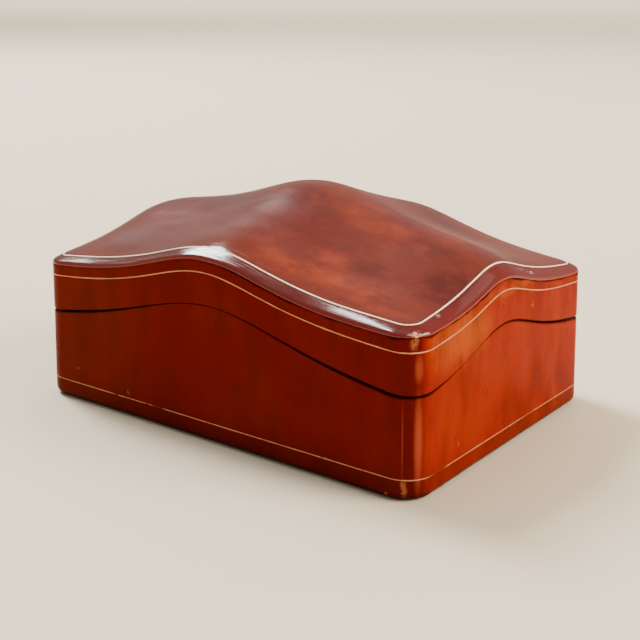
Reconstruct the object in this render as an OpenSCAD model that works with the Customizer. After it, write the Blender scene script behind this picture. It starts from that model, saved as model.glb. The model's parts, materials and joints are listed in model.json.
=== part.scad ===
// Stationery box: leather over a wooden carcass, with a hinged lid.
// The parting line, the lid's edge and its top all swell in the middle of each side.
// Millimetres, +Z up, origin under the middle of the base, front towards -Y.

/* [Box] */
// Length over the leather
box_l = 305; // [260:1:360]
// Depth over the leather
box_w = 215.5; // [180:0.5:250]
// Radius of the upright corners
corner_r = 17.5; // [15:0.5:22]

/* [Heights at the corners] */
// Parting line above the table
part_h = 58.3; // [45:0.1:75]
// Lid's side line above the parting line
band_h = 26.4; // [22:0.2:34]
// Lid's top above its side line, at the very edge before its bevel is cut
edge_h = 11.4; // [8:0.2:16]
// Height of the tooled line round the foot
foot_line_h = 13; // [8:0.1:20]

/* [Waves] */
// Rise of the parting line at the middle of a long side
part_rise_l = 29.1; // [18:0.1:31]
// Rise of the parting line at the middle of a short side
part_rise_w = 21.8; // [12:0.1:23]
// Spread of that rise along a long side
part_spread_l = 0.63; // [0.5:0.01:0.75]
// Spread of that rise along a short side
part_spread_w = 0.54; // [0.4:0.01:0.65]
// Rise of the side line at the middle of a long side
line_rise_l = 23.3; // [21:0.1:30]
// Rise of the side line at the middle of a short side
line_rise_w = 15.9; // [14:0.1:22]
// Rise of the top edge at the middle of a long side
edge_rise_l = 24.9; // [23:0.1:34]
// Rise of the top edge at the middle of a short side
edge_rise_w = 15; // [14.5:0.1:24]
// Spread of the side line and the top edge along a long side
lid_spread_l = 0.45; // [0.4:0.01:0.62]
// Spread of the side line and the top edge along a short side
lid_spread_w = 0.4; // [0.33:0.01:0.5]
// How far the crests of the short sides lie in front of the middle
crest_forward = 8; // [0:0.5:12]

/* [Crown of the lid] */
// Fullness of the top inside its edge
crown_h = 13.5; // [6:0.1:18]
// Squareness of the crown along the length
crown_power_l = 7.7; // [4:0.1:10]
// Squareness of the crown across the depth
crown_power_w = 1.85; // [1.4:0.01:3]
// Extra height of the peak in the middle
peak_h = 2.5; // [0:0.1:6]
// Spread of the peak along the length
peak_spread_l = 0.32; // [0.3:0.01:0.6]
// Spread of the peak across the depth
peak_spread_w = 0.65; // [0.4:0.01:0.8]

/* [Wood] */
// Thickness of the walls and rails
wall_t = 8; // [6:0.1:9]
// Thickness of the bottom board
board_t = 6; // [4:0.1:10]
// Thickness of the domed top board
dome_t = 8; // [5:0.1:9]
// Height of the top board's rim, from the top edge to the rails
dome_rim = 12; // [11:0.1:15]

/* [Leather and linings] */
// Thickness of the leather on the sides and the top
leather_t = 1.2; // [0.8:0.05:1.8]
// Thickness of the skived leather over the rims
turn_t = 1; // [0.6:0.05:1.4]
// Width of the leather turned under the foot
turn_w = 12; // [8:0.5:20]
// Rounding of the leather at the rims
rim_r = 1.4; // [0.8:0.1:2]
// Rounding of the leather at the foot
foot_r = 5; // [2.5:0.1:7]
// Thickness of the wall linings
lining_t = 1.2; // [0.8:0.1:2]
// Thickness of the floor lining, suede pasted on card
floor_t = 1.8; // [1:0.1:4]
// Thickness of the baize under the foot
baize_t = 1.4; // [1:0.1:2]

/* [Tooled lines] */
// Width of a line
line_w = 0.9; // [0.6:0.05:1.6]
// How far a line stands proud of the leather
line_t = 0.12; // [0.06:0.01:0.3]
// Middle of the top line in from the edge
top_line_in = 7.5; // [6:0.1:12]
// Slope of the bevel that runs from the top line to the edge, in degrees
bevel_a = 19; // [10:1:30]
// Rounding between the bevel and the upright side
arris_r = 2.1; // [1.5:0.1:3]

/* [Clearances] */
// Gap between the closed rims in the middle of the sides, where they all but touch
lid_gap = 0.4; // [0.3:0.05:1]
// Gap between the closed rims at the corners, where the lid has warped open a little
corner_gap = 1.3; // [0.4:0.1:2]
// Room at the seam between the lid's top and side leather
seam = 0.05; // [0.02:0.01:0.1]
// Room for paste between layers
paste = 0.2; // [0.15:0.01:0.3]

/* [Hinges] */
// Middle of each hinge in from its end of the box
hinge_in = 40.5; // [36:0.5:60]
// Length of a hinge
hinge_l = 26; // [20:1:34]
// Height of a leaf, from the pin to its end
leaf_w = 16; // [12:0.5:17]
// Thickness of a leaf
leaf_t = 1.2; // [0.8:0.1:1.6]
// Radius of the knuckles
knuckle_r = 2.3; // [2:0.1:3]
// Radius of the hinge pins
pin_r = 1; // [0.8:0.05:1.4]
// Play of a pin in its knuckle, on the radius
pin_play = 0.05; // [0.02:0.01:0.1]
// Play between neighbouring knuckles
knuckle_play = 0.2; // [0.1:0.05:0.4]
// Distance between the two screws of a leaf
screw_pitch = 15; // [10:0.5:20]
// Radius of a screw's shank
screw_r = 1.1; // [0.8:0.05:1.4]
// Radius of a screw's head
screw_head_r = 2.1; // [1.6:0.05:2.6]
// Length of a screw
screw_l = 8; // [5:0.1:8.5]

/* [Hidden] */

hx = box_l / 2;
hy = box_w / 2;
long_steps = 18;
short_steps = 12;
corner_steps = 5;
arris_steps = 3;
bevel_w = top_line_in - line_w / 2;
arris_in = arris_r * (1 - sin(bevel_a));

// Places of the layers, measured in from the outer face of the leather
wood_in = leather_t + paste;
cavity_in = wood_in + wall_t;
lining_in = cavity_in + paste / 2;
rim_in = lining_in + lining_t + paste / 2;
field_in = rim_in + 3;

// Levels of the base
foot_z = 0.4;
board_z = baize_t + paste;
floor_z = board_z + board_t + paste / 2;

// Colours
front_leather = [0.40, 0.12, 0.06];
top_leather = [0.45, 0.20, 0.16];
side_leather = [0.52, 0.18, 0.07];
cream = [0.88, 0.78, 0.58];
poplar = [0.80, 0.70, 0.52];
suede = [0.36, 0.27, 0.20];
baize = [0.16, 0.22, 0.16];
brass = [0.78, 0.62, 0.32];

// A swell is 1 at its crest, in or near the middle of a side, and 0 at the side's corners
function swell(s, spread, crest = 0) = let (t = (s - crest) / (1 - crest * s))
    (1 - t * t) / (1 + pow(t / spread, 2));
function wave(x, y, rise_l, rise_w, spread_l, spread_w) =
    rise_l * swell(x / hx, spread_l) + rise_w * swell(y / hy, spread_w, -crest_forward / hy);
function part_z(x, y) =
    part_h + wave(x, y, part_rise_l, part_rise_w, part_spread_l, part_spread_w);
function lid_rim_z(x, y) = part_h + corner_gap + wave(x, y, part_rise_l + lid_gap - corner_gap,
    part_rise_w + lid_gap - corner_gap, part_spread_l, part_spread_w);
function side_line_z(x, y) =
    part_h + band_h + wave(x, y, line_rise_l, line_rise_w, lid_spread_l, lid_spread_w);
function edge_z(x, y) =
    part_h + band_h + edge_h + wave(x, y, edge_rise_l, edge_rise_w, lid_spread_l, lid_spread_w);
function top_z(x, y) =
    edge_z(x, y)
    + peak_h * swell(x / hx, peak_spread_l) * swell(y / hy, peak_spread_w)
    + crown_h * (1 - pow(min(1, abs(x / hx)), crown_power_l))
    * (1 - pow(min(1, abs(y / hy)), crown_power_w));

// How far the bevel and its arris have fallen below the top, at a distance in from the side
function bevel_drop(d) = d >= arris_in ? tan(bevel_a) * max(0, bevel_w - d)
    : tan(bevel_a) * (bevel_w - arris_in) + arris_r * (cos(bevel_a) - cos(asin(1 - d / arris_r)));

// Stations round the box, anticlockwise from the front right corner: [x, y, outward normal]
function corner(cx, cy, a0) = [for (k = [0:corner_steps]) let (a = a0 + 90 * k / corner_steps)
    [cx + corner_r * cos(a), cy + corner_r * sin(a), cos(a), sin(a)]];
function side(x0, y0, x1, y1, nx, ny, steps) = [for (k = [1:steps - 1]) let (t = k / steps)
    [x0 + (x1 - x0) * t, y0 + (y1 - y0) * t, nx, ny]];
sx = hx - corner_r;
sy = hy - corner_r;
outline = concat(
    corner(sx, -sy, -90), side(hx, -sy, hx, sy, 1, 0, short_steps),
    corner(sx, sy, 0), side(sx, hy, -sx, hy, 0, 1, long_steps),
    corner(-sx, sy, 90), side(-hx, sy, -hx, -sy, -1, 0, short_steps),
    corner(-sx, -sy, 180), side(-sx, -hy, sx, -hy, 0, -1, long_steps));
stations = len(outline);

// A ring of points at a distance in from the outer face, each at a height that its station gives
function ring(d, height) = [for (s = outline) [s[0] - s[2] * d, s[1] - s[3] * d, height(s[0], s[1])]];

// A ring on the top's own surface: d in from the outer face, lowered, with the bevel
function bevel_ring(start, d, low) = [for (s = outline)
    let (x = s[0] - s[2] * (start + d), y = s[1] - s[3] * (start + d))
    [x, y, top_z(x, y) - low - bevel_drop(d)]];
function field_ring(k, low) = [for (s = outline)
    let (x = (s[0] - s[2] * field_in) * k, y = (s[1] - s[3] * field_in) * k)
    [x, y, top_z(x, y) - low]];

// Rings of the bevel, from the foot of its arris to its top, and of the field, from its rim to the middle
bevel_places = concat([for (k = [0:arris_steps]) arris_r * (1 - sin(90 - (90 - bevel_a) * k / arris_steps))],
    [bevel_w]);
field_places = [1, 0.86, 0.7, 0.52, 0.34, 0.17];

function flat(lists) = [for (l = lists) for (p = l) p];

// Faces between two neighbouring rings, a and b, counted from the first point of each. The two
// triangles of a place share the diagonal from a to b, or the other one, so that sheets lie alike.
function band(a, b, other = false) = [for (j = [0:stations - 1]) let (k = (j + 1) % stations)
    each other ? [[a + j, b + j, a + k], [b + j, b + k, a + k]]
    : [[a + j, b + j, b + k], [a + j, b + k, a + k]]];

// A skin with one closed section all round the box
module hoop(rings) {
    n = len(rings);
    polyhedron(flat(rings), [for (i = [0:n - 1]) each band(i * stations, ((i + 1) % n) * stations)]);
}

// A sheet over the whole box: rings from the middle of its top, round its edge, to the middle below
module sheet(rings, above, below) {
    n = len(rings);
    last = n * stations;
    polyhedron(concat(flat(rings), [above, below]), concat(
        [for (i = [0:n - 2]) each band(i * stations, (i + 1) * stations, i >= n / 2)],
        [for (j = [0:stations - 1]) [last, j, (j + 1) % stations]],
        [for (j = [0:stations - 1]) [last + 1, last - stations + (j + 1) % stations, last - stations + j]]));
}

function middle(low) = [0, 0, top_z(0, 0) - low];
function reversed(list) = [for (i = [len(list) - 1:-1:0]) list[i]];

// Outline of the box in plan, at a distance in from the outer face
module plan(d) {
    square([2 * (hx - d), 2 * sy], center = true);
    square([2 * sx, 2 * (hy - d)], center = true);
    for (x = [-sx, sx], y = [-sy, sy])
        translate([x, y]) circle(corner_r - d, $fn = 64);
}

// Height profile of a board along one side: low and high are functions of the place along it.
// Past the straight part of the side both stay level, clear of the leather round the corner.
module profile(half, straight, steps, low, high, high_end) {
    places = [for (k = [0:steps]) straight * (2 * k / steps - 1)];
    polygon(concat(
        [[-half, low(-straight)]], [for (p = places) [p, low(p)]],
        [[half, low(straight)], [half, high_end], [straight, high_end]],
        [for (p = reversed(places)) [p, high(p)]], [[-straight, high_end], [-half, high_end]]));
}
module along_x(y0, t) translate([0, y0 + t, 0]) rotate([90, 0, 0]) linear_extrude(t) children();
module along_y(x0, t) translate([x0, 0, 0]) rotate([90, 0, 90]) linear_extrude(t) children();

// The base's foot is rounded: places in from the outer face, and heights, from below to the side
function foot_in(start, a) = start + (foot_r - start) * (1 - sin(a));
function foot_up(low, a) = low + (foot_z + foot_r - low) * (1 - cos(a));
foot_angles = [0, 30, 60, 90];

// One mitred wall, on the side that the turn gives, rounded at the foot
module mitred(turn) {
    a = turn % 180 == 0 ? hx : hy;
    b = turn % 180 == 0 ? hy : hx;
    intersection() {
        hull() for (c = foot_angles)
            translate([0, 0, foot_up(board_z, c)]) linear_extrude(top_z(0, 0)) plan(foot_in(wood_in, c));
        rotate(turn) linear_extrude(2 * top_z(0, 0))
            polygon([[-a, -b], [a, -b], [a - cavity_in, cavity_in - b], [cavity_in - a, cavity_in - b]]);
    }
}

top_of_wall = -turn_t - paste / 2;
module base_profile_l(half) profile(half, sx, long_steps, function(p) board_z,
    function(p) part_z(p, hy) + top_of_wall, part_h + top_of_wall);
module base_profile_w(half) profile(half, sy, short_steps, function(p) board_z,
    function(p) part_z(hx, p) + top_of_wall, part_h + top_of_wall);

module base_long_wall(turn, y0) color(poplar) intersection() {
    along_x(y0, cavity_in) base_profile_l(hx);
    mitred(turn);
}
module base_short_wall(turn, x0) color(poplar) intersection() {
    along_y(x0, cavity_in) base_profile_w(hy);
    mitred(turn);
}
module base_front_wall() base_long_wall(0, -hy);
module base_back_wall() base_long_wall(180, hy - cavity_in);
module base_left_wall() base_short_wall(270, -hx);
module base_right_wall() base_short_wall(90, hx - cavity_in);

module base_long_lining(y0) color(suede) along_x(y0, lining_t) intersection() {
    base_profile_l(hx - lining_in);
    translate([-hx, floor_z]) square([box_l, box_l]);
}
module base_short_lining(x0) color(suede) along_y(x0, lining_t) intersection() {
    base_profile_w(hy - rim_in);
    translate([-hy, floor_z]) square([box_w, box_w]);
}
module base_front_lining() base_long_lining(-hy + lining_in);
module base_back_lining() base_long_lining(hy - lining_in - lining_t);
module base_left_lining() base_short_lining(-hx + lining_in);
module base_right_lining() base_short_lining(hx - lining_in - lining_t);

module underside_baize() color(baize) linear_extrude(baize_t) plan(turn_w + paste);

module bottom_board() color(poplar) translate([cavity_in - hx, cavity_in - hy, board_z])
    cube([box_l - 2 * cavity_in, box_w - 2 * cavity_in, board_t]);

module floor_lining() color(suede) translate([rim_in - hx, rim_in - hy, floor_z])
    cube([box_l - 2 * rim_in, box_w - 2 * rim_in, floor_t]);

module base_leather() color(front_leather) hoop([
    ring(turn_w, function(x, y) foot_z),
    for (a = foot_angles) ring(foot_in(0, a), function(x, y) foot_up(foot_z, a)),
    ring(0, function(x, y) part_z(x, y) - rim_r),
    ring(rim_r * 0.3, function(x, y) part_z(x, y) - rim_r * 0.3),
    ring(rim_r, function(x, y) part_z(x, y)),
    ring(rim_in, function(x, y) part_z(x, y)),
    ring(rim_in, function(x, y) part_z(x, y) - turn_t),
    ring(leather_t, function(x, y) part_z(x, y) - turn_t),
    for (a = reversed(foot_angles)) ring(foot_in(leather_t, a), function(x, y) foot_up(board_z - paste, a)),
    ring(turn_w, function(x, y) board_z - paste)]);

module foot_line() color(cream) translate([0, 0, foot_line_h - line_w / 2]) linear_extrude(line_w)
    difference() {
        plan(-line_t);
        plan(-0.02);
    }

rail_low = turn_t + paste / 2;
rail_top = -dome_rim - paste / 2;
module lid_profile_l(half, high) profile(half, sx, long_steps, function(p) lid_rim_z(p, hy) + rail_low,
    function(p) edge_z(p, hy) + high, edge_z(hx, hy) + high);
module lid_profile_w(half, high) profile(half, sy, short_steps, function(p) lid_rim_z(hx, p) + rail_low,
    function(p) edge_z(hx, p) + high, edge_z(hx, hy) + high);

module lid_long_rail(turn, y0) color(poplar) intersection() {
    along_x(y0, cavity_in) lid_profile_l(hx, rail_top);
    mitred(turn);
}
module lid_short_rail(turn, x0) color(poplar) intersection() {
    along_y(x0, cavity_in) lid_profile_w(hy, rail_top);
    mitred(turn);
}
module lid_front_rail() lid_long_rail(0, -hy);
module lid_back_rail() lid_long_rail(180, hy - cavity_in);
module lid_left_rail() lid_short_rail(270, -hx);
module lid_right_rail() lid_short_rail(90, hx - cavity_in);

ceiling_top = -dome_rim - paste / 2;
lining_top = ceiling_top - lining_t - paste;
module lid_long_lining(y0) color(suede) along_x(y0, lining_t) lid_profile_l(hx - lining_in, lining_top);
module lid_short_lining(x0) color(suede) along_y(x0, lining_t) lid_profile_w(hy - rim_in, lining_top);
module lid_front_lining() lid_long_lining(-hy + lining_in);
module lid_back_lining() lid_long_lining(hy - lining_in - lining_t);
module lid_left_lining() lid_short_lining(-hx + lining_in);
module lid_right_lining() lid_short_lining(hx - lining_in - lining_t);

module lid_top_leather() color(top_leather) sheet(concat(
    [for (k = reversed(field_places)) field_ring(k, 0)],
    [bevel_ring(0, bevel_w + line_w, 0)],
    [for (d = reversed(bevel_places)) bevel_ring(0, d, 0)],
    [for (d = bevel_places) bevel_ring(leather_t, d, leather_t)],
    [for (k = field_places) field_ring(k, leather_t)]),
    middle(0), middle(leather_t));

// The side leather meets the top leather at the foot of the arris
module lid_side_leather() color(side_leather) hoop([
    bevel_ring(leather_t, 0, leather_t + seam),
    ring(leather_t, function(x, y) lid_rim_z(x, y) + turn_t),
    ring(rim_in, function(x, y) lid_rim_z(x, y) + turn_t),
    ring(rim_in, function(x, y) lid_rim_z(x, y)),
    ring(rim_r, function(x, y) lid_rim_z(x, y)),
    ring(rim_r * 0.3, function(x, y) lid_rim_z(x, y) + rim_r * 0.3),
    ring(0, function(x, y) lid_rim_z(x, y) + rim_r),
    bevel_ring(0, 0, seam)]);

module lid_side_line() color(cream) hoop([
    ring(-line_t, function(x, y) side_line_z(x, y) - line_w / 2),
    ring(-line_t, function(x, y) side_line_z(x, y) + line_w / 2),
    ring(-0.02, function(x, y) side_line_z(x, y) + line_w / 2),
    ring(-0.02, function(x, y) side_line_z(x, y) - line_w / 2)]);

module lid_top_line() color(cream) hoop([
    bevel_ring(0, bevel_w, -line_t),
    bevel_ring(0, bevel_w + line_w, -line_t),
    bevel_ring(0, bevel_w + line_w, -0.02),
    bevel_ring(0, bevel_w, -0.02)]);

dome_low = leather_t + paste;
module lid_dome_board() color(poplar) sheet(concat(
    [for (k = reversed(field_places)) field_ring(k, dome_low)],
    [for (d = reversed(bevel_places)) bevel_ring(wood_in, d, dome_low)],
    [ring(wood_in, function(x, y) edge_z(x, y) - dome_rim),
        ring(cavity_in, function(x, y) edge_z(x, y) - dome_rim)],
    [for (k = field_places) field_ring(k, dome_low + dome_t)]),
    middle(dome_low), middle(dome_low + dome_t));

ceiling_low = dome_low + dome_t + paste / 2;
module lid_ceiling_lining() color(suede) sheet(concat(
    [for (k = reversed(field_places)) field_ring(k, ceiling_low)],
    [ring(lining_in, function(x, y) edge_z(x, y) + ceiling_top),
        ring(lining_in, function(x, y) edge_z(x, y) + ceiling_top - lining_t)],
    [for (k = field_places) field_ring(k, ceiling_low + lining_t)]),
    middle(ceiling_low), middle(ceiling_low + lining_t));

// Hinges: the pins lie along X behind the back, level with the parting line at their middles
pin_y = hy + knuckle_r + 0.2;
hinge_x = hx - hinge_in;
pin_z = (part_z(hinge_x, hy) + lid_rim_z(hinge_x, hy)) / 2;
knuckle_l = (hinge_l - 2 * knuckle_play) / 3;
screw_drop = (leaf_w + knuckle_r) / 2;

module rod_x(x0, l, r) translate([x0, 0, 0]) rotate([0, 90, 0]) cylinder(h = l, r = r, $fn = 48);

// A screw hole or a screw, pointing into the box from the leaf's outer face
module countersunk(r, head_r, l) rotate([90, 0, 0]) {
    cylinder(h = l, r = r, $fn = 32);
    cylinder(h = leaf_t, r1 = head_r, r2 = r, $fn = 32);
}

// One leaf about its pin, reaching down, with knuckles at the given starts
module leaf(starts) difference() {
    union() {
        for (x = starts) {
            rod_x(x, knuckle_l, knuckle_r);
            translate([x, hy + paste / 4 - pin_y, -leaf_w]) cube([knuckle_l, leaf_t, leaf_w]);
        }
        translate([-hinge_l / 2, hy + paste / 4 - pin_y, -leaf_w])
            cube([hinge_l, leaf_t, leaf_w - knuckle_r - 0.3]);
    }
    rod_x(-hinge_l, 2 * hinge_l, pin_r + pin_play);
    for (x = [-screw_pitch / 2, screw_pitch / 2])
        translate([x, hy + paste / 4 - pin_y + leaf_t, -screw_drop])
            countersunk(screw_r + pin_play, screw_head_r + pin_play, leaf_t + 1);
}
module base_leaf(side) color(brass) translate([side * hinge_x, pin_y, pin_z])
    leaf([-hinge_l / 2, hinge_l / 2 - knuckle_l]);
module lid_leaf(side) color(brass) translate([side * hinge_x, pin_y, pin_z])
    mirror([0, 0, 1]) leaf([-knuckle_l / 2]);
module hinge_pin(side) color(brass) translate([side * hinge_x, pin_y, pin_z])
    rod_x(-hinge_l / 2, hinge_l, pin_r);
module left_hinge_base_leaf() base_leaf(-1);
module left_hinge_lid_leaf() lid_leaf(-1);
module left_hinge_pin() hinge_pin(-1);
module right_hinge_base_leaf() base_leaf(1);
module right_hinge_lid_leaf() lid_leaf(1);
module right_hinge_pin() hinge_pin(1);

module screws(z) color(brass)
    for (side = [-1, 1], x = [-screw_pitch / 2, screw_pitch / 2])
        translate([side * hinge_x + x, hy + paste / 4 + leaf_t, z]) difference() {
            countersunk(screw_r, screw_head_r, screw_l);
            translate([-screw_head_r - 1, -0.4, -0.25]) cube([2 * screw_head_r + 2, 1, 0.5]);
        }
module base_leaf_screws() screws(pin_z - screw_drop);
module lid_leaf_screws() screws(pin_z + screw_drop);

underside_baize();
bottom_board();
base_front_wall();
base_back_wall();
base_left_wall();
base_right_wall();
base_leather();
foot_line();
floor_lining();
base_front_lining();
base_back_lining();
base_left_lining();
base_right_lining();
lid_dome_board();
lid_front_rail();
lid_back_rail();
lid_left_rail();
lid_right_rail();
lid_top_leather();
lid_side_leather();
lid_side_line();
lid_top_line();
lid_ceiling_lining();
lid_front_lining();
lid_back_lining();
lid_left_lining();
lid_right_lining();
left_hinge_base_leaf();
left_hinge_lid_leaf();
left_hinge_pin();
right_hinge_base_leaf();
right_hinge_lid_leaf();
right_hinge_pin();
base_leaf_screws();
lid_leaf_screws();
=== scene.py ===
import json
import math

import bmesh
import bpy
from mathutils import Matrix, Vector, noise


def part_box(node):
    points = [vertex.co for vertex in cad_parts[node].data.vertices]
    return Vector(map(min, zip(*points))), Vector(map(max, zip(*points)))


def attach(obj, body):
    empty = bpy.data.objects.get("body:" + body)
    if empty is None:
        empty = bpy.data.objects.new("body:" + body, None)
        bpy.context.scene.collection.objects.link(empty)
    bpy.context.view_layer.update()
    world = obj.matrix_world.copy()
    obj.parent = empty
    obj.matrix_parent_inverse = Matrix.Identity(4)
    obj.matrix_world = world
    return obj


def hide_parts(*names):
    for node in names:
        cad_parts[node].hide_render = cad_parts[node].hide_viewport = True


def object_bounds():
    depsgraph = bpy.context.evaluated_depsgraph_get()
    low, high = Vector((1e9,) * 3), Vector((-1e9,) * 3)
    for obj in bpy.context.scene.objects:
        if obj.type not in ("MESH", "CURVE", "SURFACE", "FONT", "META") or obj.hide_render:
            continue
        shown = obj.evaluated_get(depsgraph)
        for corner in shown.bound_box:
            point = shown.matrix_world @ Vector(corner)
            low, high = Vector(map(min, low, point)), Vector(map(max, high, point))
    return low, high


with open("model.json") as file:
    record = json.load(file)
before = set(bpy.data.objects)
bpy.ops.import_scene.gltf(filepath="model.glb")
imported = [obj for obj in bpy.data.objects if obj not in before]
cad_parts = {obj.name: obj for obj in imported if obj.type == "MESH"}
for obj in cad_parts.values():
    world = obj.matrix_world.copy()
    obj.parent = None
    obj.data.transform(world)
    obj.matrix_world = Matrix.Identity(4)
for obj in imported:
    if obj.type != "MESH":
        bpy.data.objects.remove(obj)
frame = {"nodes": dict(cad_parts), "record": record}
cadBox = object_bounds()  # box of the CAD model, before any piece is added
mm = 0.001

# Sizes shared with the CAD model, in mm
boxLow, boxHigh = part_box("base_leather")
halfL = boxHigh[0] / mm
halfW = boxHigh[1] / mm
topLimit = cadBox[1][2] / mm
cornerR = 17.5
crestForward = 8.0  # the short sides crest a little in front of their middles
leatherT = 1.2
rimIn = 10.8  # how far the rims reach in from the outer face
rimSteps = (4, 7)  # rows of the rims between their rounding and their inner edge
turnT = 1.0  # leather turned over the rims
turnUnder = 12.0  # width of the leather turned under the foot
lineWidth = 0.9
lineLift = 0.12

# Heights at the corners and rises at the crests, long side first
waves = {
    "part": {"corner": 58.3, "rise": (29.1, 21.8), "spread": (0.63, 0.54), "shift": 0.0},
    "lidRim": {"corner": 59.6, "rise": (28.2, 20.9), "spread": (0.63, 0.54), "shift": 0.0},
    "sideLine": {"corner": 84.7, "rise": (23.3, 15.9), "spread": (0.45, 0.40), "shift": -3.0},
    "edge": {"corner": 96.1, "rise": (24.9, 15.0), "spread": (0.45, 0.40), "shift": 0.0},
}
crown = {"height": 13.5, "power": (7.7, 1.85), "peak": 2.5, "peakSpread": (0.32, 0.65),
         "room": 0.15, "roomEase": 0.4}  # the peak eases off just below the top of the CAD model
bevel = {"width": 7.05, "slope": math.radians(19), "arrisR": 2.1, "arrisSteps": 9, "ease": 1.1,
         "rows": (2.4, 3.6, 4.8, 5.9, 6.6)}

# The lid was shaped by hand: its crests stand a few mm off the middles, and it has slow dents
handShape = {
    "crestX": (-2.4, 12.9),  # front, back
    "crestY": (-3.6, -9.1),  # left, right
    "peak": (4.7, 3.8),
    "dents": [  # place, reach and lift
        (152, 107, 34, -1.0), (152, -8, 34, 0.7), (152, -107, 30, 1.0), (75, -107, 34, -0.5),
        (0, -107, 34, -0.9), (-75, -107, 34, -0.4), (-152, -8, 34, 1.6), (110, 60, 40, -1.9),
        (-60, 100, 40, 0.4), (70, 20, 40, 0.3),
        (8, -88, 9, 1.5), (4, -104, 9, -0.5)],  # these two carry the window's highlight over the line
}


def hexColour(code):
    # sRGB hex to the linear values that shaders and lamps take
    parts = [int(code[i:i + 2], 16) / 255 for i in (1, 3, 5)]
    return [c / 12.92 if c <= 0.04045 else ((c + 0.055) / 1.055) ** 2.4 for c in parts] + [1.0]


def swell(s, spread, crest=0.0):
    t = (s - crest) / (1 - crest * s)
    return (1 - t * t) / (1 + (t / spread) ** 2)


def waveHeight(name, x, y):
    w = waves[name]
    return w["corner"] + w["rise"][0] * swell(x / halfL, w["spread"][0], w["shift"] / halfL) \
        + w["rise"][1] * swell(y / halfW, w["spread"][1], -crestForward / halfW)


def part(x, y):
    return waveHeight("part", x, y)


rims = {
    # places where the rims close up on each other: centre, reach and how far
    "closings": [((152, -52), 25, 0.97), ((0, -107), 52, 0.75), ((0, 107), 40, 0.5), ((-152, -8), 40, 0.7)],
    "closedGap": 0.08,
    "round": 1.1,
    "closedRound": 0.15,
}


def closeness(x, y):
    return max(share * math.exp(-((x - cx) ** 2 + (y - cy) ** 2) / (2 * reach * reach))
               for (cx, cy), reach, share in rims["closings"])


def lidRim(x, y):
    low, gap = part(x, y), waveHeight("lidRim", x, y) - part(x, y)
    return low + gap + (rims["closedGap"] - gap) * closeness(x, y)


def rimRound(x, y):
    return rims["round"] - (rims["round"] - rims["closedRound"]) * closeness(x, y)


def sideLine(x, y):
    return waveHeight("sideLine", x, y)


def plainEdge(x, y):
    return waveHeight("edge", x, y)


def topHeight(x, y):
    h, w = handShape, waves["edge"]
    sx, sy = max(-1, min(1, x / halfL)), max(-1, min(1, y / halfW))
    crestX = ((h["crestX"][0] + h["crestX"][1]) + (h["crestX"][1] - h["crestX"][0]) * sy) / 2 / halfL
    crestY = ((h["crestY"][0] + h["crestY"][1]) + (h["crestY"][1] - h["crestY"][0]) * sx) / 2 / halfW
    z = w["corner"] + w["rise"][0] * swell(sx, w["spread"][0], crestX) \
        + w["rise"][1] * swell(sy, w["spread"][1], crestY)
    z += crown["peak"] * swell(sx, crown["peakSpread"][0], h["peak"][0] / halfL) \
        * swell(sy, crown["peakSpread"][1], h["peak"][1] / halfW)
    z += crown["height"] * (1 - abs(sx) ** crown["power"][0]) * (1 - abs(sy) ** crown["power"][1])
    for dx, dy, reach, lift in h["dents"]:
        z += lift * math.exp(-((x - dx) ** 2 + (y - dy) ** 2) / (2 * reach * reach))
    limit, ease = topLimit - crown["room"], crown["roomEase"]
    return limit - ease * math.log(1 + math.exp((limit - z) / ease))


def shoulder(d):
    # the leather turns softly from the field to the bevel
    return bevel["ease"] * math.log(1 + math.exp((bevel["width"] - d) / bevel["ease"]))


def bevelDrop(d):
    k, r = math.tan(bevel["slope"]), bevel["arrisR"]
    arrisIn = r * (1 - math.sin(bevel["slope"]))
    if d >= arrisIn:
        return k * shoulder(d)
    return k * shoulder(arrisIn) + r * (math.cos(bevel["slope"]) - math.cos(math.asin(1 - d / r)))


# Stations round the box: place and outward normal
def outlineStations(longSteps, shortSteps, cornerSteps):
    stations = []
    flatX, flatY = halfL - cornerR, halfW - cornerR
    centres = [(flatX, -flatY, -90), (flatX, flatY, 0), (-flatX, flatY, 90), (-flatX, -flatY, 180)]
    for i, (cx, cy, start) in enumerate(centres):
        for k in range(cornerSteps + 1):
            a = math.radians(start + 90 * k / cornerSteps)
            stations.append((cx + cornerR * math.cos(a), cy + cornerR * math.sin(a), math.cos(a), math.sin(a)))
        x0, y0, nx, ny = stations[-1]
        steps, reach = (longSteps, flatX) if i % 2 else (shortSteps, flatY)
        for k in range(1, steps):
            t = 2 * reach * k / steps
            stations.append((x0 - ny * t, y0 + nx * t, nx, ny))
    return stations


outline = outlineStations(150, 104, 20)
count = len(outline)
print("stations round the box:", count)


# Leather worked by hand over wood: how far its slow and quick waves go, their size, and how deep inside the box
# surfaces still follow them
handWork = {"slow": 0.16, "slowSize": 36, "quick": 0.05, "quickSize": 12, "deepest": 9}


def unevenness(x, y, z):
    slow = noise.noise(Vector((x, y, z)) / handWork["slowSize"])
    quick = noise.noise(Vector((x, y, z)) / handWork["quickSize"] + Vector((7, 3, 5)))
    return handWork["slow"] * slow + handWork["quick"] * quick


def dip(x, y, z):
    # the sides only go in from the true face, and never stand out of it
    return -min(0, unevenness(x, y, z) - handWork["slow"])


def sideRing(inset, height):
    # a ring at a distance in from the outer face, with its depth under the arris and its distance from the rims
    ring = []
    for x, y, nx, ny in outline:
        z = height(x, y)
        d = inset + dip(x, y, z) if inset < handWork["deepest"] else inset
        fromRim = z - lidRim(x, y) if z > part(x, y) + 0.01 else part(x, y) - z
        # the painted shade along the rims narrows where they close up
        ring.append((x - nx * d, y - ny * d, z, topHeight(x, y) - bevelDrop(0) - z,
                     fromRim / (1.03 - closeness(x, y))))
    return ring


farFromRim = 90.0  # the top is out of reach of the painted shade along the rims


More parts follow.
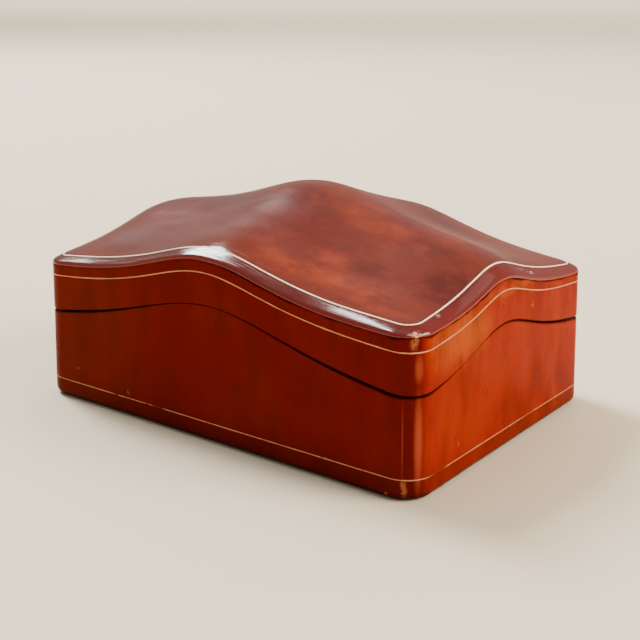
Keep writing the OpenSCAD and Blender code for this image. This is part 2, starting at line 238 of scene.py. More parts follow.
def topRing(start, inset, low):
    # a ring on the bevel or the line: inset is from the outer face of the sheet that starts at start
    ring = []
    for x, y, nx, ny in outline:
        px, py = x - nx * (start + inset), y - ny * (start + inset)
        z = topHeight(px, py) - low - bevelDrop(inset)
        d = dip(x, y, z) * max(0, 1 - inset / 2)
        ring.append((px - nx * d, py - ny * d, z + unevenness(px, py, 0) * min(1, inset / 4), -inset, farFromRim))
    return ring


fieldIn = 13.8  # where the field's own rings begin


def fieldRing(share, low):
    ring = []
    for x, y, nx, ny in outline:
        px, py = (x - nx * fieldIn) * share, (y - ny * fieldIn) * share
        z = topHeight(px, py) - low + unevenness(px, py, 0)
        ring.append((px, py, z, -fieldIn - 90 * (1 - share), farFromRim))
    return ring


def makeObject(name, points, faces, material, body, replaced):
    # points are a place in mm, the depth under the arris and the distance from the rims
    mesh = bpy.data.meshes.new(name)
    mesh.from_pydata([(p[0] * mm, p[1] * mm, p[2] * mm) for p in points], [], faces)
    for key, place in (("underArris", 3), ("fromRim", 4)):
        values = mesh.attributes.new(key, "FLOAT", "POINT")
        values.data.foreach_set("value", [p[place] for p in points])
    mesh.validate()
    work = bmesh.new()
    work.from_mesh(mesh)
    if work.calc_volume(signed=True) < 0:
        bmesh.ops.reverse_faces(work, faces=work.faces)
    for face in work.faces:
        face.smooth = True
    work.to_mesh(mesh)
    work.free()
    mesh.materials.append(material)
    obj = bpy.data.objects.new(name, mesh)
    bpy.context.collection.objects.link(obj)
    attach(obj, body)
    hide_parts(*replaced)
    return obj


def bandFaces(a, b):
    # faces between two rings, counted from the first point of each
    return [(a + j, b + j, b + (j + 1) % count, a + (j + 1) % count) for j in range(count)]


def makeHoop(name, rings, material, body, replaced):
    # one closed section all round the box
    faces = []
    for i in range(len(rings)):
        faces += bandFaces(i * count, (i + 1) % len(rings) * count)
    return makeObject(name, [p for ring in rings for p in ring], faces, material, body, replaced)


def makeSheet(name, rings, above, below, material, body, replaced):
    # a sheet over the whole box, from the middle of its top round its edge to the middle below
    points = [p for ring in rings for p in ring] + [above, below]
    last = len(rings) * count
    faces = [(last, j, (j + 1) % count) for j in range(count)]
    for i in range(len(rings) - 1):
        faces += bandFaces(i * count, (i + 1) * count)
    faces += [(last + 1, last - count + (j + 1) % count, last - count + j) for j in range(count)]
    return makeObject(name, points, faces, material, body, replaced)


def middlePoint(low):
    return (0, 0, topHeight(0, 0) - low + unevenness(0, 0, 0), -fieldIn - 90, farFromRim)


# Materials
def addNode(tree, kind, values=None):
    # values by socket, number of a socket or setting: another node's output, a number, a hex colour or a ramp's stops
    node = tree.nodes.new("ShaderNode" + kind)
    for key, value in (values or {}).items():
        if isinstance(value, bpy.types.NodeSocket):
            tree.links.new(value, node.inputs[key])
        elif key == "stops":
            elements = node.color_ramp.elements
            while len(elements) < len(value):
                elements.new(0.5)
            for element, (place, colour) in zip(elements, value):
                element.position = place
                element.color = hexColour(colour)
        elif isinstance(key, int) or key in node.inputs:
            node.inputs[key].default_value = hexColour(value) if isinstance(value, str) else value
        else:
            setattr(node, key, value)
    return node


def newMaterial(name):
    # a material without nodes, and the place on the object that its patterns lie by
    material = bpy.data.materials.new(name)
    material.use_nodes = True
    tree = material.node_tree
    tree.nodes.clear()
    return material, tree, addNode(tree, "TexCoord").outputs["Object"]


def shareWhere(tree, parts):
    # a product of parts: each is a source, and may go smoothly from one share to another between two of its values
    total = None
    for share, *span in parts:
        if span:
            start, end, least, most = span
            share = addNode(tree, "MapRange", {"interpolation_type": "SMOOTHSTEP", "Value": share, "From Min": start,
                                               "From Max": end, "To Min": least, "To Max": most}).outputs["Result"]
        if total is None:
            total = share
        else:
            total = addNode(tree, "Math", {"operation": "MULTIPLY", 0: total, 1: share}).outputs[0]
    return total


def layColours(tree, colour, layers):
    # colours laid over each other in turn, each with the share that its parts give
    for parts, over in layers:
        mix = {"data_type": "RGBA", 0: shareWhere(tree, parts), 6: colour, 7: over}
        colour = addNode(tree, "Mix", mix).outputs[2]
    return colour


def cloudPattern(tree, place, size, stretch=(1, 1, 1), detail=3.0, seed=0.0):
    # soft clouds; size in mm, drawn out by stretch along each axis
    mapping = addNode(tree, "Mapping", {"Vector": place, "Scale": [1000 / (size * s) for s in stretch],
                                        "Location": (seed, seed * 2, seed * 3)})
    return addNode(tree, "TexNoise", {"Vector": mapping.outputs[0], "Scale": 1.0, "Detail": detail,
                                      "Roughness": 0.55}).outputs["Fac"]


def nearPlaces(tree, place, places, wander=5.0):
    # how far a point lies in any of these places: centre and half sizes in mm, and strength; edges wander
    waver = addNode(tree, "TexNoise", {"Vector": place, "Scale": 1000 / wander, "Detail": 3.0})
    shift = addNode(tree, "VectorMath", {"operation": "MULTIPLY_ADD", 0: waver.outputs["Color"],
                                         1: [wander * mm] * 3, 2: [-wander * mm / 2] * 3})
    moved = addNode(tree, "VectorMath", {"operation": "ADD", 0: place, 1: shift.outputs[0]})
    total = None
    for centre, size, strength in places:
        mapping = addNode(tree, "Mapping", {"Vector": moved.outputs[0], "Scale": [1000 / s for s in size],
                                            "Location": [-c / s for c, s in zip(centre, size)]})
        away = addNode(tree, "VectorMath", {"operation": "LENGTH", 0: mapping.outputs[0]}).outputs["Value"]
        share = shareWhere(tree, [(away, 1.0, 0.3, 0, strength)])
        if total is not None:
            share = addNode(tree, "Math", {"operation": "MAXIMUM", 0: total, 1: share}).outputs[0]
        total = share
    return total


def leatherGrain(tree, place, foldSize, poreDepth):
    # follicles 0.8 mm apart among fine folds; calf's real ones are finer and would not show
    pores = addNode(tree, "TexVoronoi", {"Vector": place, "Scale": 1000 / 0.8}).outputs["Distance"]
    return addNode(tree, "Math", {"operation": "MULTIPLY_ADD", 0: pores, 1: poreDepth,
                                  2: cloudPattern(tree, place, foldSize, seed=2.0)}).outputs[0]


def leatherSurface(tree, finish, colour, height, roughness):
    bump = addNode(tree, "Bump", {"Strength": finish["bump"], "Distance": 0.0002, "Height": height})
    shader = addNode(tree, "BsdfPrincipled", {
        "Base Color": colour, "Normal": bump.outputs["Normal"], "Roughness": roughness, "IOR": 1.5,
        "Specular IOR Level": finish["specular"], "Specular Tint": finish["tint"],
        "Sheen Weight": finish["sheen"], "Sheen Roughness": 0.5})
    addNode(tree, "OutputMaterial", {"Surface": shader.outputs[0]})


# Places are a centre and half sizes in mm, and a strength
sideFinish = {
    "dyed": [(0.3, "#640a02"), (0.5, "#6d0c02"), (0.72, "#6f1303")],
    # partly faded dye, partly painted light: the colours of the lamp-lit right end
    "fadedAndLit": [(0.25, "#7a1702"), (0.45, "#8a1d02"), (0.7, "#962803")],
    # corner is painted shade on the right-hand corners' rounding; tan is laid with the lamp-lit right end
    "leftEnd": "#6c1f05", "corner": "#4c0702", "tan": "#a8480a",
    "runs": "#4a0f05", "fine": "#30100a",
    # painted shade: under the arris, in the groove along the rims, near the floor and at the foot's rounding
    "arris": "#360404", "rim": "#2a0604", "foot": "#35100a", "ground": "#1a0805",
    # crease is a painted highlight on the near corner
    "scuff": "#c8764a", "cornerHighlight": "#a84630",
    "tanPlaces": [((152.5, -58, 84), (7, 46, 20), 0.75), ((152.5, 10, 101), (4, 60, 6), 0.5)],
    "scuffs": [((152.5, 27, 84), (3, 2.2, 1.8), 0.5), ((152.5, -62, 22), (3, 1.3, 2.0), 0.6),
               ((-118, -107.7, 24), (1.6, 3, 2.2), 0.3), ((-70, -107.7, 17), (1.2, 3, 1.8), 0.4),
               ((143.5, -105.5, 8), (2.4, 4, 7), 0.5), ((133.5, -107.6, 2.5), (1.2, 3, 1.4), 0.7),
               ((147.5, -101.8, 91), (2.8, 4.0, 6), 0.5)],
    # places of painted highlights on the near corner's rounding: a thin line where it turns, and a soft band
    "cornerHighlights": [((142.8, -105.9, 34), (0.6, 2, 30), 0.4), ((149.9, -101.0, 34), (2.9, 5.0, 40), 0.7),
                ((149.9, -101.0, 76), (2.9, 5.0, 12), 0.55)],
    "bump": 0.09, "specular": 0.02, "tint": "#ff9a6c", "sheen": 0.0,
}


def sideLeather(name, finish):
    # vegetable-tanned calf, dyed oxblood and polished: deep red-brown, chestnut on the right end, partly faded dye
    # and partly painted light where the lamp falls, with runs where the dye took unevenly; painted shade along the
    # rims, under the arris, on the right-hand corners and near the floor, and painted highlights on the near corner
    material, tree, place = newMaterial(name)
    axes = addNode(tree, "SeparateXYZ", {0: place}).outputs
    underArris = addNode(tree, "Attribute", {"attribute_name": "underArris"}).outputs["Fac"]
    fromRim = addNode(tree, "Attribute", {"attribute_name": "fromRim"}).outputs["Fac"]
    runs = cloudPattern(tree, place, 13, (1, 1, 3.5), 4.0, 3.0)
    fine = cloudPattern(tree, place, 2.6, (1, 1, 3), 4.0, 5.0)
    dyed = addNode(tree, "ValToRGB", {"Fac": cloudPattern(tree, place, 55, detail=4.0), "stops": finish["dyed"]})
    fadedAndLit = addNode(tree, "ValToRGB", {"Fac": cloudPattern(tree, place, 26, (1, 1, 1.6), 4.0, 9.0),
                                       "stops": finish["fadedAndLit"]})
    fadedAndLitEnd = layColours(tree, fadedAndLit.outputs[0], [
        ([(nearPlaces(tree, place, finish["tanPlaces"], 14.0),)], finish["tan"])])
    # the painted shade under the arris ends on a line that wanders up to about 3 mm below it
    wander = cloudPattern(tree, place, 14, seed=7.0)
    shadeEdge = addNode(tree, "Math", {"operation": "MULTIPLY_ADD", 0: wander, 1: 7.0, 2: -2.6}).outputs[0]
    belowShadeEdge = addNode(tree, "Math", {"operation": "SUBTRACT", 0: underArris, 1: shadeEdge}).outputs[0]
    scuffed = shareWhere(tree, [(nearPlaces(tree, place, finish["scuffs"]),),
                                (cloudPattern(tree, place, 1.5, detail=4.0, seed=3.5), 0.38, 0.58, 0.2, 1.0)])
    colour = layColours(tree, dyed.outputs[0], [
        ([(axes["X"], -0.02, -0.15, 0, 0.55)], finish["leftEnd"]),
        # painted shade on the rounding of the right-hand corners, before the lit end begins
        ([(axes["X"], 0.137, 0.146, 0, 0.6)], finish["corner"]),
        # partly faded dye, partly painted light: the lamp-lit right end, with its tan places, painted lighter
        ([(axes["X"], 0.1496, 0.1522, 0, 1)], fadedAndLitEnd),
        ([(runs, 0.4, 0.72, 0, 0.38)], finish["runs"]),
        ([(fine, 0.4, 0.75, 0, 0.1)], finish["fine"]),
        # painted shade under the arris, stronger towards the right
        ([(belowShadeEdge, 0.5, -0.5, 0, 1), (axes["X"], -0.03, 0.04, 0, 0.85)], finish["arris"]),
        # painted shade in the groove along the rims
        ([(fromRim, 1.4, 0.1, 0, 0.7)], finish["rim"]),
        # painted shade near the floor, darker still at the rounding of the foot
        ([(axes["Z"], 0.0145, 0.0125, 0, 0.3)], finish["foot"]),
        ([(axes["Z"], 0.006, 0.0006, 0, 0.8)], finish["ground"]),
        ([(scuffed,)], finish["scuff"]),
        # painted highlights on the near corner: a thin bright line where it turns and a soft pinkish band
        ([(nearPlaces(tree, place, finish["cornerHighlights"], 0.8),)], finish["cornerHighlight"])])
    worn = addNode(tree, "Math", {"operation": "MULTIPLY_ADD", 0: scuffed, 1: 0.8,
                                  2: cloudPattern(tree, place, 12, seed=4.0)}).outputs[0]
    leatherSurface(tree, finish, colour, leatherGrain(tree, place, 3.0, 0.25),
                   shareWhere(tree, [(worn, 0.3, 1.1, 0.27, 0.62)]))
    return material


topFinish = {
    "dyed": [(0.28, "#531911"), (0.5, "#672217"), (0.72, "#702c1d")],
    "rubbed": "#a03c19", "stained": "#3c100b", "fine": "#3a0c08",
    # painted shade on the bevel, painted lighter towards the lamp-lit right end
    "bevel": "#470c0c", "bevelLitRight": "#661211", "arris": "#761407", "scuff": "#e6bda6",
    "handled": [((62, -78, 118), (52, 26, 40), 0.75), ((118, -84, 106), (34, 16, 30), 0.7),
                ((70, -20, 130), (60, 30, 40), 0.35), ((110, 0, 125), (30, 34, 40), 0.3)],
    "stains": [((137, -54, 109), (20, 26, 20), 0.6), ((90, -62, 115), (24, 14, 20), 0.4),
               ((108, -30, 124), (34, 16, 24), 0.4), ((20, -30, 144), (40, 22, 24), 0.35)],
    "scuffs": [((148.2, 15, 107), (1.1, 8, 4), 0.8), ((149.2, 29, 104), (0.9, 7, 4), 0.8),
               # the next place is a painted glint on the near corner's arris, laid as a pale worn patch
               ((147.5, -77, 99), (1.3, 4, 4), 0.7), ((147.6, -101.5, 95.4), (5.5, 5.5, 1.5), 1.0)],
    "crackLength": 22.0, "crackWidth": 0.9,
    "bump": 0.1, "specular": 0.62, "tint": "#ffffff", "sheen": 0.02,
}


def topLeather(name, finish):
    # the same calf dyed maroon, padded on and waxed: clouded, handled smooth, with a dusty bloom at low angles
    # and fine cracks along the edge
    material, tree, place = newMaterial(name)
    axes = addNode(tree, "SeparateXYZ", {0: place}).outputs
    underArris = addNode(tree, "Attribute", {"attribute_name": "underArris"}).outputs["Fac"]
    patches = cloudPattern(tree, place, 20, (1.9, 1, 1), 4.0, 6.0)
    fine = cloudPattern(tree, place, 4.5, (1.5, 1, 1), 4.0, 8.0)
    dyed = addNode(tree, "ValToRGB", {"Fac": cloudPattern(tree, place, 48, (1.6, 1, 1), 4.0, 1.0),
                                      "stops": finish["dyed"]})
    bevelShadeColour = layColours(tree, finish["bevel"], [([(axes["X"], 0.139, 0.15, 0, 1)], finish["bevelLitRight"])])
    colour = layColours(tree, dyed.outputs[0], [
        # rubbed back to orange where hands lift the lid, in broken patches, and stained dark beside them
        ([(patches, 0.36, 0.66, 0, 1), (nearPlaces(tree, place, finish["handled"]),)], finish["rubbed"]),
        ([(cloudPattern(tree, place, 14, seed=12.0), 0.3, 0.6, 0, 1),
          (nearPlaces(tree, place, finish["stains"]),)], finish["stained"]),
        ([(fine, 0.35, 0.7, 0, 0.2)], finish["fine"]),
        # painted shade: the bevel is darker, painted lighter towards the lamp-lit right end, and redder at the arris
        ([(underArris, -9.0, -6.6, 0, 0.55)], bevelShadeColour),
        ([(underArris, -1.2, -0.1, 0, 0.85)], finish["arris"]),
        # pale scuffs of wear; the one on the near corner's arris is a painted glint
        ([(nearPlaces(tree, place, finish["scuffs"]),),
          (cloudPattern(tree, place, 1.6, (1, 5, 1), seed=3.5), 0.4, 0.6, 0, 1)], finish["scuff"])])
    # cracks run along the edges: a pattern that is fine across the edge and long along it
    lengths = (1000 / finish["crackLength"], 1000 / finish["crackLength"], 1 / finish["crackWidth"])
    spaced = [addNode(tree, "Math", {"operation": "MULTIPLY", 0: source, 1: scale}).outputs[0]
              for source, scale in zip((axes["X"], axes["Y"], underArris), lengths)]
    across = addNode(tree, "CombineXYZ", dict(enumerate(spaced))).outputs[0]
    cracks = addNode(tree, "TexNoise", {"Vector": across, "Scale": 1.0, "Detail": 2.0, "Roughness": 0.6})
    cracked = shareWhere(tree, [(cracks.outputs["Fac"], 0.5, 0.68, 0, 1), (underArris, -17.0, -8.0, 0, 1),
                                (axes["X"], 0.09, 0.03, 0.3, 1.0), (axes["X"], -0.11, -0.04, 0.2, 1.0)])
    height = addNode(tree, "Math", {"operation": "MULTIPLY_ADD", 0: cracked, 1: -0.8,
                                    2: leatherGrain(tree, place, 3.2, 0.3)}).outputs[0]
    # the edge is the most polished; the field is softer, and the back slope, less handled, is duller
    polish = shareWhere(tree, [(cloudPattern(tree, place, 15, (2, 1, 1), seed=4.0), 0.3, 0.7, 0.1, 0.15)])
    roughness = addNode(tree, "Math", {"operation": "MULTIPLY_ADD", 0: cracked, 1: 0.2, 2: polish}).outputs[0]
    for duller in ((underArris, -14.0, -30.0, 0, 0.1), (axes["Y"], -0.02, 0.03, 0, 0.3)):
        roughness = addNode(tree, "Math", {"operation": "ADD", 0: roughness,
                                           1: shareWhere(tree, [duller])}).outputs[0]
    leatherSurface(tree, finish, colour, height, roughness)
    return material


# Worn is the part of a cloud pattern where the size has begun to rub away, and where it is gone
lineFinishes = {
    "side": {"cream": [(0.3, "#c8845a"), (0.7, "#d69a6c")], "worn": (0.66, 0.8), "gaps": []},
    "foot": {"cream": [(0.3, "#b06c46"), (0.7, "#c98c62")], "worn": (0.58, 0.74),
             "gaps": [((-43, -107.7, 13), (9, 6, 6), 1.0), ((152.5, -83, 13), (6, 13, 6), 1.0),
                      ((152.5, 25, 13), (6, 13, 6), 0.7)]},
    # the top line's cream is made paler as a painted reflection of the sky on its size
    "top": {"cream": [(0.3, "#ffe6b6"), (0.7, "#fff2d2")], "worn": (0.74, 0.86), "gaps": []},
}


def tooledLine(name, finish):
    # blind-tooled line filled with cream size: thin, a little uneven, rubbed away in places
    material, tree, place = newMaterial(name)
    cream = addNode(tree, "ValToRGB", {"Fac": cloudPattern(tree, place, 3.0), "stops": finish["cream"]})
    rubbed = shareWhere(tree, [(cloudPattern(tree, place, 7, seed=4.0), *finish["worn"], 0, 1)])
    if finish["gaps"]:
        rubbed = addNode(tree, "Math", {"operation": "MAXIMUM", 0: rubbed,
                                        1: nearPlaces(tree, place, finish["gaps"])}).outputs[0]
    colour = layColours(tree, cream.outputs[0], [([(rubbed,)], "#7c1c04")])
    shader = addNode(tree, "BsdfPrincipled", {"Base Color": colour, "Roughness": 0.42, "IOR": 1.46,
                                              "Specular IOR Level": 0.12})
    addNode(tree, "OutputMaterial", {"Surface": shader.outputs[0]})
    return material


def planedPoplar(name):
    # poplar boards planed and left bare: pale, straight grain along the board, matt
    material, tree, place = newMaterial(name)
    grain = cloudPattern(tree, place, 2.2, (30, 1, 1), 4.0)
    colour = addNode(tree, "ValToRGB", {
        "Fac": grain, "stops": [(0.3, "#b79a6c"), (0.55, "#cdb487"), (0.75, "#d8c49c")]})
    bump = addNode(tree, "Bump", {"Strength": 0.2, "Distance": 0.0002, "Height": grain})
    shader = addNode(tree, "BsdfPrincipled", {"Base Color": colour.outputs[0], "Normal": bump.outputs["Normal"],
                                              "Roughness": 0.6, "IOR": 1.45})
    addNode(tree, "OutputMaterial", {"Surface": shader.outputs[0]})
    return material


def napped(name, brushed, shadow, napSize, sheen):
    # cloth or split leather with a raised nap: matt, soft at grazing angles, brushed in patches
    material, tree, place = newMaterial(name)
    ground = addNode(tree, "ValToRGB", {
        "Fac": cloudPattern(tree, place, 18), "stops": [(0.35, brushed[0]), (0.65, brushed[1])]})
    nap = addNode(tree, "TexNoise", {"Vector": place, "Scale": 1000 / napSize, "Detail": 3.0}).outputs["Fac"]
    colour = layColours(tree, ground.outputs[0], [([(nap, 0.35, 0.7, 0, 0.5)], shadow)])
    bump = addNode(tree, "Bump", {"Strength": 0.5, "Distance": 0.0003, "Height": nap})
    shader = addNode(tree, "BsdfPrincipled", {
        "Base Color": colour, "Normal": bump.outputs["Normal"], "Roughness": 0.9, "Sheen Weight": sheen,
        "Sheen Roughness": 0.4, "Specular IOR Level": 0.2})
    addNode(tree, "OutputMaterial", {"Surface": shader.outputs[0]})
    return material


def cabinetBrass(name):
    # rolled brass, polished then dulled by handling: warm metal with brownish film and faint rub marks
    material, tree, place = newMaterial(name)
    colour = addNode(tree, "ValToRGB", {
        "Fac": cloudPattern(tree, place, 8, detail=4.0),
        "stops": [(0.3, "#a67c3a"), (0.55, "#c79c52"), (0.8, "#d6b169")]})
    rubMarks = cloudPattern(tree, place, 0.5, (12, 1, 1), 2.0)
    shader = addNode(tree, "BsdfPrincipled", {"Metallic": 1.0, "Base Color": colour.outputs[0],
                                              "Roughness": shareWhere(tree, [(rubMarks, 0.3, 0.7, 0.2, 0.38)])})
    addNode(tree, "OutputMaterial", {"Surface": shader.outputs[0]})
    return material


sideCalf = sideLeather("polishedOxbloodCalf", sideFinish)
topCalf = topLeather("waxedMaroonCalf", topFinish)
sideLineSize = tooledLine("creamSizeSideLine", lineFinishes["side"])
footLineSize = tooledLine("creamSizeFootLine", lineFinishes["foot"])
topLineSize = tooledLine("creamSizeTopLineWithPaintedReflection", lineFinishes["top"])
poplar = planedPoplar("planedPoplar")
suede = napped("brownSuede", ("#3c2a1d", "#4d3828"), "#2c1e14", 0.7, 0.35)
baize = napped("greenWoolBaize", ("#223526", "#2c4130"), "#18271b", 0.5, 0.25)
brass = cabinetBrass("dulledBrass")
print("materials made")

# Leather of the base: under the foot, up the side, over the rim and down inside it
baseSizes = {"footR": 5.0, "footZ": 0.4, "boardZ": 1.4, "turnSteps": (10, 8, 6.4), "sideRows": 26,
             "roundSteps": 8, "footSteps": 12, "innerFootSteps": 4}


def quarter(steps):
    return [math.radians(90 * k / steps) for k in range(steps + 1)]


def footIn(start, a):
    return start + (baseSizes["footR"] - start) * (1 - math.sin(a))


def footUp(low, a):
    return low + (baseSizes["footZ"] + baseSizes["footR"] - low) * (1 - math.cos(a))


def rimRing(a, height):
    # a ring on the rounding of a rim, a from 90 degrees on the side to 0 on top
    ring = []
    for point, station in zip(sideRing(0, height), outline):
        d = rimRound(station[0], station[1]) * (1 - math.sin(a))
        ring.append((point[0] - station[2] * d, point[1] - station[3] * d) + point[2:])
    return ring


def baseLeatherRings():
    s = baseSizes
    rings = [sideRing(d, lambda x, y: s["footZ"]) for d in (turnUnder, *s["turnSteps"])]
    rings += [sideRing(footIn(0, a), lambda x, y, a=a: footUp(s["footZ"], a)) for a in quarter(s["footSteps"])]
    low = s["footZ"] + s["footR"]
    for k in range(1, s["sideRows"]):
        t = k / s["sideRows"]
        rings.append(sideRing(0, lambda x, y, t=t: low + (part(x, y) - rimRound(x, y) - low) * t))
    rings += [rimRing(a, lambda x, y, a=a: part(x, y) - rimRound(x, y) * (1 - math.cos(a)))
              for a in reversed(quarter(s["roundSteps"]))]
    rings += [sideRing(d, part) for d in (*rimSteps, rimIn)]
    rings += [sideRing(d, lambda x, y: part(x, y) - turnT) for d in (rimIn, leatherT)]
    rings += [sideRing(footIn(leatherT, a), lambda x, y, a=a: footUp(s["boardZ"], a))
              for a in reversed(quarter(s["innerFootSteps"]))]
    return rings + [sideRing(turnUnder, lambda x, y: s["boardZ"])]


makeHoop("base_leather_cover", baseLeatherRings(), sideCalf, "base", ["base_leather"])

# Leather of the lid's sides, up to the foot of the arris, and of its top, over the arris and the bevel
lidSizes = {"bandRows": 14, "roundSteps": 8, "seam": 0.05, "fieldRows": 56,
            "nearLine": (12.8, 11.8, 10.8, 9.9, 9.2, 8.6)}  # rings between the field's own and the line


def lidSideRings():
    low, high = leatherT + lidSizes["seam"], lidSizes["seam"]

    def foot(x, y):
        return topHeight(x, y) - bevelDrop(0)

    rings = [sideRing(leatherT, lambda x, y: foot(x, y) - low)]
    rings += [sideRing(d, lambda x, y: lidRim(x, y) + turnT) for d in (leatherT, rimIn)]
    rings += [sideRing(d, lidRim) for d in (rimIn, *reversed(rimSteps))]
    rings += [rimRing(a, lambda x, y, a=a: lidRim(x, y) + rimRound(x, y) * (1 - math.cos(a)))
              for a in quarter(lidSizes["roundSteps"])]
    for k in range(1, lidSizes["bandRows"] + 1):
        t = k / lidSizes["bandRows"]
        rings.append(sideRing(0, lambda x, y, t=t: lidRim(x, y) + rimRound(x, y)
                              + (foot(x, y) - high - lidRim(x, y) - rimRound(x, y)) * t))
    return rings


makeHoop("lid_side_cover", lidSideRings(), sideCalf, "lid", ["lid_side_leather"])

arrisAngles = [math.pi / 2 - (math.pi / 2 - bevel["slope"]) * k / bevel["arrisSteps"]
               for k in range(bevel["arrisSteps"] + 1)]
bevelPlaces = [bevel["arrisR"] * (1 - math.sin(a)) for a in arrisAngles] + [*bevel["rows"], bevel["width"]]
fieldShares = [1 - k / lidSizes["fieldRows"] for k in range(lidSizes["fieldRows"])]

topRings = [fieldRing(share, 0) for share in reversed(fieldShares)]
topRings += [topRing(0, d, 0) for d in (*lidSizes["nearLine"], bevel["width"] + lineWidth)]
topRings += [topRing(0, d, 0) for d in reversed(bevelPlaces)]
topRings += [topRing(leatherT, d, leatherT) for d in bevelPlaces[::3]]
topRings += [fieldRing(share, leatherT) for share in fieldShares[::4]]
makeSheet("lid_top_cover", topRings, middlePoint(0), middlePoint(leatherT), topCalf, "lid",
          ["lid_top_leather"])

# The shaped board under the top leather, and the suede lining under it, with fewer rings than the leather
innerSizes = {"paste": 0.2, "woodIn": 1.4, "cavityIn": 9.4, "liningIn": 9.5, "domeT": 8.0, "domeRim": 12.0,
              "liningGap": 0.1, "liningT": 1.2}


def boardRim(below):
    # the level of the board's rim, and of the lining's below it
    return lambda x, y: plainEdge(x, y) - innerSizes["domeRim"] - below


boardLow = leatherT + innerSizes["paste"]
hollowLow = boardLow + innerSizes["domeT"]
boardRings = [fieldRing(share, boardLow) for share in reversed(fieldShares[::4])]
boardRings += [topRing(innerSizes["woodIn"], d, boardLow) for d in reversed(bevelPlaces[::3])]
boardRings += [sideRing(innerSizes[place], boardRim(0)) for place in ("woodIn", "cavityIn")]
boardRings += [fieldRing(share, hollowLow) for share in fieldShares[::4]]
makeSheet("lid_shaped_board", boardRings, middlePoint(boardLow), middlePoint(hollowLow), poplar, "lid",
          ["lid_dome_board"])
liningTop = hollowLow + innerSizes["liningGap"]
liningUnder = liningTop + innerSizes["liningT"]
ceilingRings = [fieldRing(share, liningTop) for share in reversed(fieldShares[::2])]
ceilingRings += [sideRing(innerSizes["liningIn"], boardRim(innerSizes["liningGap"] + low))
                 for low in (0, innerSizes["liningT"])]
ceilingRings += [fieldRing(share, liningUnder) for share in fieldShares[::2]]
makeSheet("lid_ceiling_suede", ceilingRings, middlePoint(liningTop), middlePoint(liningUnder), suede, "lid",
          ["lid_ceiling_lining"])
print("leather and lid made")


# Tooled lines: raised, with sloping edges, sunk a little into the leather, and uneven in width on the sides as a
# hand fillet leaves them
lineSizes = {"footZ": 13.0, "footWidth": 0.75, "sideWidth": 0.8, "edge": 0.1, "sunk": 0.05, "topSunk": 0.06,
             "uneven": 0.12, "unevenSize": 9}


def sideLineRings(height, width):
    def edge(side, taper):
        # one edge of the line, above its middle or below it
        def level(x, y):
            uneven = lineSizes["uneven"] * noise.noise(Vector((x, y, 40)) / lineSizes["unevenSize"])
            return height(x, y) + side * (width / 2 - taper + uneven)
        return level

    return [sideRing(-lineLift, edge(-1, lineSizes["edge"])), sideRing(-lineLift, edge(1, lineSizes["edge"])),
            sideRing(lineSizes["sunk"], edge(1, 0)), sideRing(lineSizes["sunk"], edge(-1, 0))]


def topLineRings(inner, outer):
    edge, sunk = lineSizes["edge"], lineSizes["topSunk"]
    return [topRing(0, outer + edge, -lineLift), topRing(0, inner - edge, -lineLift),
            topRing(0, inner, sunk), topRing(0, outer, sunk)]


makeHoop("foot_tooled_line", sideLineRings(lambda x, y: lineSizes["footZ"], lineSizes["footWidth"]), footLineSize,
         "base", ["foot_line"])
makeHoop("lid_side_tooled_line", sideLineRings(sideLine, lineSizes["sideWidth"]), sideLineSize, "lid",
         ["lid_side_line"])
makeHoop("lid_top_tooled_line", topLineRings(bevel["width"] + lineWidth, bevel["width"]), topLineSize, "lid",
         ["lid_top_line"])

# Finishes of the CAD pieces that show as they are
finishes = {"poplar": poplar, "suede": suede, "baize": baize, "brass": brass}
for subpart in frame["record"]["subparts"]:
    if subpart["material_slot"] in finishes:
        mesh = frame["nodes"][subpart["node"]].data
        mesh.materials.clear()
        mesh.materials.append(finishes[subpart["material_slot"]])
print("lines and finishes made")

# Camera, from the photograph's outlines: place in mm, turn and pitch in degrees
view = {"place": (463.6, -603.3, 279.1), "turn": 37.15, "pitch": 8.554, "focalPixels": 1139.7, "frame": 640,
        "sensor": 36.0, "principal": 160.0}
cameraData = bpy.data.cameras.new("camera")
cameraData.sensor_width = view["sensor"]
cameraData.lens = view["focalPixels"] / view["frame"] * view["sensor"]
cameraData.shift_y = (view["principal"] - view["frame"] / 2) / view["frame"]
cameraData.clip_start = 0.01
camera = bpy.data.objects.new("camera", cameraData)
camera.location = [c * mm for c in view["place"]]
camera.rotation_euler = (math.radians(90 - view["pitch"]), 0, math.radians(view["turn"]))
bpy.context.collection.objects.link(camera)
bpy.context.scene.camera = camera

# Floor and light; reach in metres
stage = {"floorReach": 40, "floor": "#e4d5bb", "sky": "#cdcbc4", "skyStrength": 0.51}
reach = stage["floorReach"]
floorMesh = bpy.data.meshes.new("floor")
floorMesh.from_pydata([(-reach, -reach, 0), (reach, -reach, 0), (reach, reach, 0), (-reach, reach, 0)], [],
                      [(0, 1, 2, 3)])
floorPaint, tree, place = newMaterial("paleMattFloor")
shader = addNode(tree, "BsdfPrincipled", {"Base Color": stage["floor"], "Roughness": 0.9, "Specular IOR Level": 0.1})
addNode(tree, "OutputMaterial", {"Surface": shader.outputs[0]})
floorMesh.materials.append(floorPaint)
floor = bpy.data.objects.new("floor", floorMesh)
bpy.context.collection.objects.link(floor)

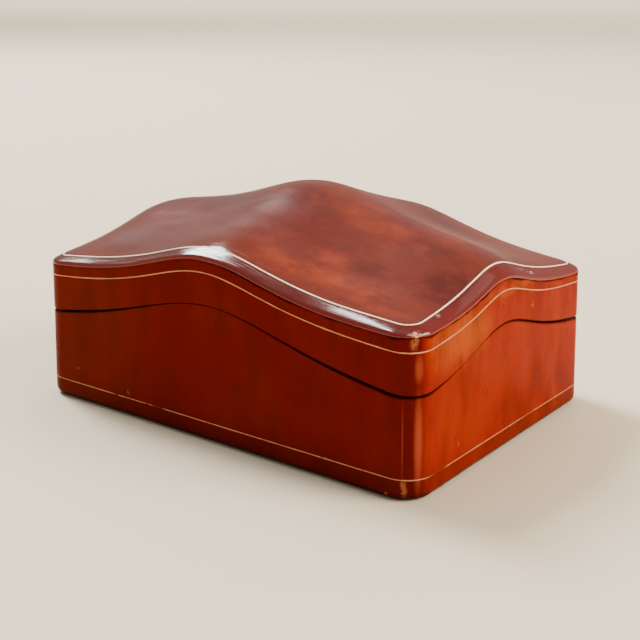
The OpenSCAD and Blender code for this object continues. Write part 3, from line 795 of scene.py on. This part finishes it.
world = bpy.data.worlds.new("studio")
bpy.context.scene.world = world
world.use_nodes = True
world.node_tree.nodes["Background"].inputs["Color"].default_value = hexColour(stage["sky"])
world.node_tree.nodes["Background"].inputs["Strength"].default_value = stage["skyStrength"]

# Each lamp stands at a turn, rise and distance from aim, in degrees and metres, and faces it
aim = Vector((0, -0.04, 0.1))
lamps = [
    {"name": "rightWindow", "turn": 20, "rise": 30, "far": 6.0, "size": (3.2, 3.6), "power": 560, "tint": "#fff0dc"},
    {"name": "leftWindow", "turn": 169, "rise": 49, "far": 5.6, "size": (1.5, 2.7), "power": 560, "tint": "#ffffff",
     "roll": -22},
    {"name": "overhead", "turn": 20, "rise": 84, "far": 6.8, "size": (4.8, 4.8), "power": 30, "tint": "#fffaf2"},
    {"name": "rightWall", "turn": 52, "rise": 43, "far": 6.0, "size": (1.6, 1.6), "power": 6, "tint": "#fff4ec"},
    {"name": "farWindow", "turn": -48, "rise": 46, "far": 6.0, "size": (1.2, 0.6), "power": 24, "tint": "#ffffff"},
    {"name": "floorLight", "turn": 127, "rise": 18.5, "far": 25.3, "size": (30, 30), "power": 7600,
     "tint": "#fffaf2", "down": True},
]
for lamp in lamps:
    data = bpy.data.lights.new(lamp["name"], "AREA")
    data.shape = "RECTANGLE"
    data.size, data.size_y = lamp["size"]
    data.energy = lamp["power"]
    data.color = hexColour(lamp["tint"])[:3]
    light = bpy.data.objects.new(lamp["name"], data)
    turn, rise = math.radians(lamp["turn"]), math.radians(lamp["rise"])
    away = Vector((math.cos(rise) * math.cos(turn), math.cos(rise) * math.sin(turn), math.sin(rise)))
    light.location = aim + away * lamp["far"]
    light.rotation_euler = (-away).to_track_quat("-Z", "Y").to_euler()
    light.rotation_euler.rotate_axis("Z", math.radians(lamp.get("roll", 0)))
    if lamp.get("down"):  # lights the floor behind the box, and isn't mirrored in the leather
        light.rotation_euler = (0, 0, 0)
        light.visible_glossy = False
    light.visible_camera = False
    bpy.context.collection.objects.link(light)
print("stage set")
